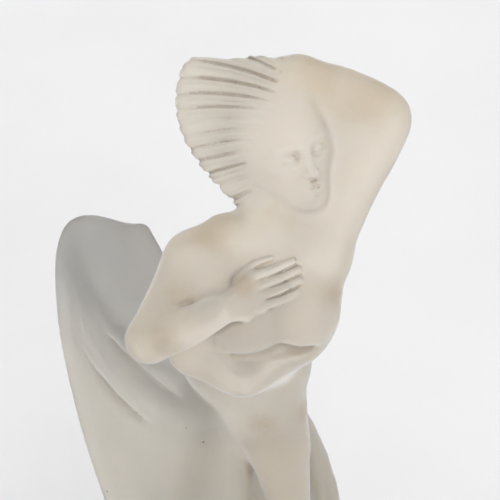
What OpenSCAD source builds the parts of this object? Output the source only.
// Hood ornament: a wind-blown figure pressed in frosted glass, clamped by its
// round foot in a plated cup that is bolted to a screw-on radiator cap.
// Units are millimetres.  +Z is up, -Y is the way the figure faces, and the
// origin is on the cap's thread axis, on the face that meets the filler neck.

/* [Figure] */
// Length of the head, chin to crown; the whole figure is counted in heads
head_len = 22; // [20:0.5:24]
// Number of folds in the drapery
fold_count = 13; // [9:1:15]
// Number of locks of hair blown back from the face
lock_count = 9; // [7:1:11]

/* [Glass foot] */
// Diameter of the flange that the collar holds down
flange_d = 54; // [52:1:56]
// Thickness of that flange
flange_h = 4; // [3:0.5:5]
// Diameter of the foot above the flange
foot_d = 48; // [46:1:49]
// Height that the foot stands out of the collar
foot_rise = 3.5; // [2:0.5:6]

/* [Cup and collar] */
// Outside diameter of the cup and of the collar
cup_d = 66; // [65:1:70]
// Thickness of the cup's floor
cup_floor = 6; // [5:0.5:8]
// Thickness of the collar
collar_h = 4; // [3.5:0.5:5]
// Width of the saw cut between the collar halves
collar_gap = 0.6; // [0.4:0.1:1]
// Number of screws in each collar half
screws_per_half = 3; // [2:1:4]

/* [Radiator cap] */
// Diameter of the cap over its fluted skirt
cap_d = 70; // [68:1:74]
// Height of the cap
cap_h = 25; // [24:1:28]
// Number of finger flutes round the skirt
flute_count = 30; // [20:2:40]
// Radius of the female thread that takes the filler neck
thread_r = 24.7; // [24:0.1:25.5]
// Length of that thread
thread_len = 11; // [9:0.5:12]

/* [Hidden] */

$fn = 96;
limb_fn = 12;
arc_steps = 6;
touch = 0.01;

// Wall and clearance sizes
fit_gap = 0.1;
cork_t = 1.5;
rubber_t = 1;
fibre_t = 1;
seat_gap = 0.4;
skirt_t = 4;
crown_t = 4;
ring_t = 4.3;
seal_t = 1.6;
seal_lip = 4;
cap_round = 6;
flute_r = 2.6;
flute_depth = 0.9;
bead_r = 1.2;
cove_r = 4;
plinth_round = 1.5;

// Collar screws: small slotted countersunk machine screws
screw_r = 1.25;
screw_head_r = 2.2;
screw_len = 8;
screw_head_h = screw_head_r - screw_r;
slot_w = 0.6;
slot_depth = 0.6;

// Mounting bolt: hexagon head, plain shank radius, and its washers
bolt_r = 4;
bolt_hole_r = 4.3;
bolt_head_af = 13;
bolt_head_h = 5;
washer_r = 8;
washer_t = 1.2;
spring_washer_r = 6.6;
spring_washer_t = 2;

// Heights of the stack, from the rim of the cap upwards
cup_z = cap_h + fibre_t;
seat_z = cup_z + cup_floor;
flange_z = seat_z + cork_t;
cup_rim_z = flange_z + flange_h + rubber_t;
collar_top_z = cup_rim_z + collar_h;
foot_top_z = collar_top_z + foot_rise;
recess_r = flange_d / 2 + seat_gap;
collar_bore_r = foot_d / 2 + seat_gap;
screw_circle_r = (recess_r + cup_d / 2) / 2;
crown_z = cap_h - crown_t;
crown_flat_r = cap_d / 2 - cap_round;
cavity_r = cap_d / 2 - skirt_t;

// Colours
GLASS = "#cfc6ba";
CHROME = "#c9ccd0";
BRASS = "#b5924c";
STEEL = "#8f9296";
RUBBER = "#2b2b2b";
CORK = "#a9794a";
FIBRE = "#7a2f26";

// Points of an arc from angle a0 to angle a1, for the turned outlines
function arc(centre, r, a0, a1) =
    [for (i = [0 : arc_steps]) let (a = a0 + (a1 - a0) * i / arc_steps) centre + r * [cos(a), sin(a)]];

// ---------------------------------------------------------------- figure
// Landmarks are in heads from the centre of the foot's top face.
nape = [0.42, 0.12, 6.10];
neck_root = [0.26, -0.20, 5.68];
// The head is turned to its left and tipped back
head_turn = 30;
head_back = 30;
// The neck enters the skull behind its centre and below it
skull_ahead = 0.15;
skull_above = 0.40;
skull_y = skull_above * sin(head_back) - skull_ahead * cos(head_back);
skull_z = skull_above * cos(head_back) + skull_ahead * sin(head_back);
head_centre = nape + [-skull_y * sin(head_turn), skull_y * cos(head_turn), skull_z];

right_shoulder = [-0.42, -0.40, 5.74];
right_trapezius = [-0.14, -0.24, 5.85];
right_elbow = [-0.79, -0.98, 5.34];
right_forearm = [-0.47, -1.03, 5.55];
right_wrist = [-0.16, -1.05, 5.78];
// The hand is three quarters of a head long, half palm and half fingers: the palm runs
// to the middle of the knuckles, and the span from the first knuckle to the fourth
palm = [0.30, 0.23, 0.00];
knuckle_span = [0.08, -0.18, -0.18];
longest_finger = [0.36, 0.13, 0.06];
finger_shares = [0.94, 1.00, 0.96, 0.86];
last_finger = len(finger_shares) - 1;
knuckles = [for (i = [0 : last_finger]) right_wrist + palm + (i / last_finger - 0.5) * knuckle_span];
finger_tips = [for (i = [0 : last_finger]) knuckles[i] + finger_shares[i] * longest_finger];

left_shoulder = [0.70, -0.33, 5.76];
left_elbow = [1.26, 0.40, 6.72];
left_hand = [0.52, 0.70, 6.84];
raised_arm_line = [[left_shoulder, 0.24], [[0.97, -0.02, 6.24], 0.20], [[1.16, 0.22, 6.52], 0.21],
                   [left_elbow, 0.19], [[0.88, 0.57, 6.83], 0.21], [left_hand, 0.19]];

ribs_top = [[-0.22, -0.46, 5.62], [0.48, -0.44, 5.64]];
ribs_mid = [[-0.25, -0.58, 5.32], [0.44, -0.56, 5.33]];
ribs_low = [[-0.38, -0.70, 4.94], [0.02, -0.78, 4.86], [0.42, -0.74, 5.14]];
breasts = [[0.03, -0.88, 5.42], [0.57, -0.79, 5.46]];
waist = [0.12, -0.26, 4.48];
hips = [[-0.20, 0.08, 3.94], [0.29, 0.04, 3.94]];

left_leg = [[[0.24, -0.02, 3.85], 0.37], [[0.38, -0.14, 2.80], 0.285], [[0.48, -0.20, 1.96], 0.205],
            [[0.47, -0.02, 1.35], 0.205], [[0.44, 0.08, 0.30], 0.11]];
left_foot = [[[0.44, 0.06, 0.16], 0.13], [[0.50, -0.34, 0.10], 0.11], [[0.52, -0.56, 0.06], 0.07]];

// The drapery's folds run from the gather behind the hips to the hem, which goes
// from the blown-up lobe at the figure's right, down its edge, across the foot
// behind the legs and up to the figure's left.
gather = [[-0.30, 0.16, 3.78], [-0.31, -0.06, 3.52], [-0.14, 0.02, 3.20], [0.10, 0.34, 3.56],
          [0.44, 0.20, 3.20]];
blown_edge = [[-0.98, 1.23, 4.40], [-1.64, 1.58, 4.12], [-1.76, 1.38, 3.28], [-1.62, 0.95, 2.28],
              [-1.34, 0.52, 1.25]];
// Behind the legs the hem is half an oval on the foot
hem_half_width = 0.93;
hem_depth = 0.68;
hem_on_foot = [for (a = [180 : -60 : 0]) [hem_half_width * cos(a), hem_depth * sin(a) + 0.05, 0.12]];
hem = concat(blown_edge, hem_on_foot);
// How far the folds belly out half way down, at the figure's right and left
belly_right = [-0.44, -0.06, -0.22];
belly_left = [0.44, 0.06, 0.02];

// The cloth that wraps the right leg fans out from its knot to these points
skirt_knot = [-0.20, 0.12, 3.63];
skirt = [[-0.02, 0.12, 0.16], [-0.38, -0.02, 0.16], [-0.78, 0.06, 0.18], [-1.20, 0.40, 0.95],
         [-1.46, 0.74, 1.80]];

// The fan of hair is bounded by two bowed lines from its top to the nape: its tips and its roots
hair_tips = [[-0.38, 0.90, 6.82], [0.10, 0.13, 5.90]];
hair_roots = [[0.45, 0.50, 6.93], [0.28, 0.10, 6.00]];
tips_bow = [-0.22, 0, -0.08];
roots_bow = [-0.18, 0, 0];

// A point on the smooth curve through a list of points; t runs from 0 to 1
function clamped(points, i) = points[max(0, min(len(points) - 1, i))];
function spline(points, t) =
    let (s = min(t, 0.9999) * (len(points) - 1), i = floor(s), f = s - i,
         a = clamped(points, i - 1), b = clamped(points, i),
         c = clamped(points, i + 1), d = clamped(points, i + 2))
    0.5 * (2 * b + (c - a) * f + (2 * a - 5 * b + 4 * c - d) * f * f
        + (3 * b - a - 3 * c + d) * f * f * f);

// A point on a bowed line between two ends; t runs from 0 to 1
function bowed(ends, bow, t) = ends[0] + t * (ends[1] - ends[0]) + sin(180 * t) * bow;

// A sphere at a landmark, with its radius in heads
module blob(place, r) {
    translate(head_len * place)
        sphere(r = head_len * r, $fn = limb_fn);
}

// A limb through [place, radius] pairs
module limb(stations) {
    for (i = [0 : len(stations) - 2])
        hull() {
            blob(stations[i][0], stations[i][1]);
            blob(stations[i + 1][0], stations[i + 1][1]);
        }
}

// One rounded mass round several places that share a radius
module mass(places, r) {
    hull()
        for (p = places) blob(p, r);
}

// The head looks along its own -Y, with its chin at -0.5 and its crown at 0.5
module head() {
    translate(head_len * head_centre)
        rotate([0, 0, head_turn])
            rotate([-head_back, 0, 0]) {
                hull() {
                    blob([0, 0.06, 0.10], 0.38);
                    blob([0, -0.12, 0.12], 0.29);
                    mass([[-0.17, -0.02, -0.26], [0.17, -0.02, -0.26]], 0.10);
                    blob([0, -0.28, -0.38], 0.12);
                }
                limb([[[0, -0.37, 0.06], 0.05], [[0, -0.44, -0.12], 0.06]]);
            }
    limb([[nape, 0.24], [neck_root, 0.24]]);
}

module hair() {
    for (i = [0 : lock_count - 1])
        let (t = i / (lock_count - 1))
        limb([[bowed(hair_roots, roots_bow, t), 0.17], [bowed(hair_tips, tips_bow, t), 0.10]]);
}

module raised_arm() {
    limb(raised_arm_line);
    // the glass is solid between the arm, the head and the neck
    mass([left_shoulder, nape, head_centre, left_elbow, left_hand], 0.15);
}

module bent_arm() {
    limb([[right_shoulder, 0.245], [right_elbow, 0.20], [right_forearm, 0.175], [right_wrist, 0.12]]);
    hull() {
        blob(right_wrist, 0.09);
        mass(knuckles, 0.06);
    }
    for (i = [0 : len(knuckles) - 1])
        limb([[knuckles[i], 0.05], [finger_tips[i], 0.04]]);
}

module torso() {
    mass([right_shoulder, right_trapezius, neck_root, left_shoulder], 0.19);
    mass(concat(ribs_top, [right_shoulder, left_shoulder]), 0.24);
    hull() {
        mass(ribs_top, 0.31);
        mass(ribs_mid, 0.37);
    }
    hull() {
        mass(ribs_mid, 0.36);
        mass(ribs_low, 0.26);
    }
    for (b = breasts) blob(b, 0.235);
    hull() {
        mass(ribs_low, 0.26);
        blob(waist, 0.32);
    }
    hull() {
        blob(waist, 0.32);
        mass(hips, 0.37);
    }
}

module legs() {
    limb(left_leg);
    limb(left_foot);
}

// Place down a fold: gather at 0, half way at 1, hem at 2; t runs along the hem
function fold_point(t, down) =
    let (top = spline(gather, t), low = spline(hem, t),
         right_side = min(t / 0.12, 1) * max(1 - 2 * t, 0), left_side = max(2.5 * t - 1.5, 0))
    down == 0 ? top
    : down == 2 ? low
    : (top + low) / 2 + right_side * belly_right + left_side * belly_left;

module drapery() {
    for (i = [0 : fold_count - 1])
        let (t = i / (fold_count - 1))
        limb([for (down = [0 : 2]) [fold_point(t, down), 0.13]]);
    // the cloth between the folds
    for (i = [0 : fold_count - 2], down = [0, 1])
        let (t = i / (fold_count - 1), u = (i + 1) / (fold_count - 1))
        mass([for (fold = [t, u], end = [down, down + 1]) fold_point(fold, end)], 0.10);
}

// The cloth wraps the right leg and thins out towards the figure's right
module skirt_cloth() {
    for (i = [0 : len(skirt) - 2])
        hull() {
            blob(skirt_knot, 0.24 - 0.04 * i);
            blob(skirt[i], 0.24 - 0.04 * i);
            blob(skirt[i + 1], 0.20 - 0.04 * i);
        }
}

// The round foot: a wide flange below and a narrower plinth above
module foot() {
    rotate_extrude()
        polygon(concat(
            [[0, flange_z], [flange_d / 2 - 0.5, flange_z], [flange_d / 2, flange_z + 0.5],
             [flange_d / 2, flange_z + flange_h], [foot_d / 2, flange_z + flange_h]],
            arc([foot_d / 2 - plinth_round, foot_top_z - plinth_round], plinth_round, 0, 90),
            [[0, foot_top_z]]
        ));
}

module glass_figure() {
    color(GLASS) {
        foot();
        // nothing of the figure reaches down past the foot's top layer
        translate([0, 0, foot_top_z])
            intersection() {
                union() {
                    head();
                    hair();
                    raised_arm();
                    bent_arm();
                    torso();
                    legs();
                    drapery();
                    skirt_cloth();
                }
                translate([0, 0, -1])
                    cylinder(r = 5 * head_len, h = 9 * head_len);
            }
    }
}

// ---------------------------------------------------------------- seals
module ring(outer_r, inner_r, h) {
    difference() {
        cylinder(r = outer_r, h = h);
        translate([0, 0, -touch])
            cylinder(r = inner_r, h = h + 2 * touch);
    }
}

module flange_gasket() {
    color(RUBBER)
        translate([0, 0, flange_z + flange_h])
            ring(recess_r - fit_gap, foot_d / 2 + fit_gap, rubber_t);
}

module seat_gasket() {
    color(CORK)
        translate([0, 0, seat_z])
            cylinder(r = recess_r - fit_gap, h = cork_t);
}

module mount_gasket() {
    color(FIBRE)
        translate([0, 0, cap_h])
            ring(crown_flat_r - 1, bolt_hole_r, fibre_t);
}

module filler_seal() {
    color(CORK)
        translate([0, 0, thread_len])
            ring(cavity_r - fit_gap, thread_r - seal_lip, seal_t);
}

// ---------------------------------------------------------------- collar
// Places of the screws of one half; the front half is turned to -Y
module at_screws(side) {
    for (i = [0 : screws_per_half - 1])
        rotate(side * 90 - 90 + 180 * (i + 0.5) / screws_per_half)
            translate([screw_circle_r, 0, collar_top_z])
                children();
}

module countersink(extra = 0) {
    translate([0, 0, -screw_head_h])
        cylinder(r1 = screw_r, r2 = screw_head_r, h = screw_head_h);
    translate([0, 0, -screw_len - extra])
        cylinder(r = screw_r, h = screw_len + extra - screw_head_h / 2);
}

// side is 1 for the rear half (+Y) and -1 for the front half (-Y)
module collar_half(side) {
    difference() {
        rotate_extrude()
            polygon([
                [collar_bore_r, cup_rim_z], [cup_d / 2, cup_rim_z],
                [cup_d / 2, collar_top_z - 0.6], [cup_d / 2 - 0.6, collar_top_z],
                [collar_bore_r + 0.8, collar_top_z], [collar_bore_r, collar_top_z - 0.8]
            ]);
        translate([-cup_d, side > 0 ? -2 * cup_d + collar_gap / 2 : -collar_gap / 2, 0])
            cube([2 * cup_d, 2 * cup_d, 2 * collar_top_z]);
        at_screws(side > 0 ? 1 : -1) countersink();
    }
}

module collar_half_front() { color(CHROME) collar_half(-1); }
module collar_half_rear() { color(CHROME) collar_half(1); }

module collar_screws() {
    color(STEEL)
        for (side = [-1, 1])
            at_screws(side)
                difference() {
                    countersink();
                    translate([-screw_head_r, -slot_w / 2, -slot_depth])
                        cube([2 * screw_head_r, slot_w, slot_depth + touch]);
                }
}

// ---------------------------------------------------------------- cup
// The cup stands on a bead and widens to the collar through a cove
module mount_cup() {
    bead_x = cup_d / 2 - cove_r;
    color(CHROME)
        difference() {
            rotate_extrude()
                polygon(concat(
                    [[0, cup_z]],
                    arc([bead_x, cup_z + bead_r], bead_r, -90, 90),
                    arc([cup_d / 2, cup_z + 2 * bead_r], cove_r, 180, 90),
                    [[cup_d / 2, cup_rim_z], [recess_r, cup_rim_z], [recess_r, seat_z], [0, seat_z]]
                ));
            // tapped hole for the mounting bolt
            translate([0, 0, cup_z - touch])
                cylinder(r = bolt_r, h = cup_floor + 2 * touch);
            for (side = [-1, 1]) at_screws(side) countersink(0.5);
        }
}

// ---------------------------------------------------------------- bolt
module mounting_bolt() {
    head_z = crown_z - washer_t - spring_washer_t - bolt_head_h;
    color(STEEL) {
        translate([0, 0, head_z])
            intersection() {
                cylinder(r = bolt_head_af / sqrt(3), h = bolt_head_h, $fn = 6);
                cylinder(r1 = bolt_head_af / 2 - 0.4, r2 = bolt_head_af / 2 + 4, h = bolt_head_h);
            }
        translate([0, 0, head_z + bolt_head_h - touch])
            cylinder(r = bolt_r, h = seat_z - 0.5 - head_z - bolt_head_h + touch);
    }
}

module spring_washer() {
    color(STEEL)
        translate([0, 0, crown_z - washer_t - spring_washer_t])
            difference() {
                ring(spring_washer_r, bolt_hole_r, spring_washer_t);
                // the slanted split of a spring washer
                translate([spring_washer_r / 2 + 1, 0, spring_washer_t / 2])
                    rotate([25, 0, 0])
                        cube([spring_washer_r, 0.5, 3 * spring_washer_t], center = true);
            }
}

module bolt_washer() {
    color(STEEL)
        translate([0, 0, crown_z - washer_t])
            ring(washer_r, bolt_hole_r, washer_t);
}

// ---------------------------------------------------------------- cap
module cap_shell() {
    color(CHROME)
        difference() {
            rotate_extrude()
                polygon(concat(
                    [[0, 0], [cap_d / 2 - 0.6, 0], [cap_d / 2, 0.6]],
                    arc([crown_flat_r, cap_h - cap_round], cap_round, 0, 90),
                    [[0, cap_h]]
                ));
            translate([0, 0, -touch])
                cylinder(r = cavity_r, h = crown_z + touch);
            translate([0, 0, crown_z - touch])
                cylinder(r = bolt_hole_r, h = crown_t + 2 * touch);
            for (i = [0 : flute_count - 1])
                rotate(360 * i / flute_count)
                    translate([cap_d / 2 + flute_r - flute_depth, 0, 2.5])
                        cylinder(r = flute_r, h = cap_h - 10, $fn = 24);
        }
}

module cap_thread_ring() {
    color(BRASS)
        ring(cavity_r, thread_r, thread_len);
}

glass_figure();
flange_gasket();
seat_gasket();
collar_half_front();
collar_half_rear();
collar_screws();
mount_cup();
mount_gasket();
mounting_bolt();
bolt_washer();
spring_washer();
cap_shell();
cap_thread_ring();
filler_seal();
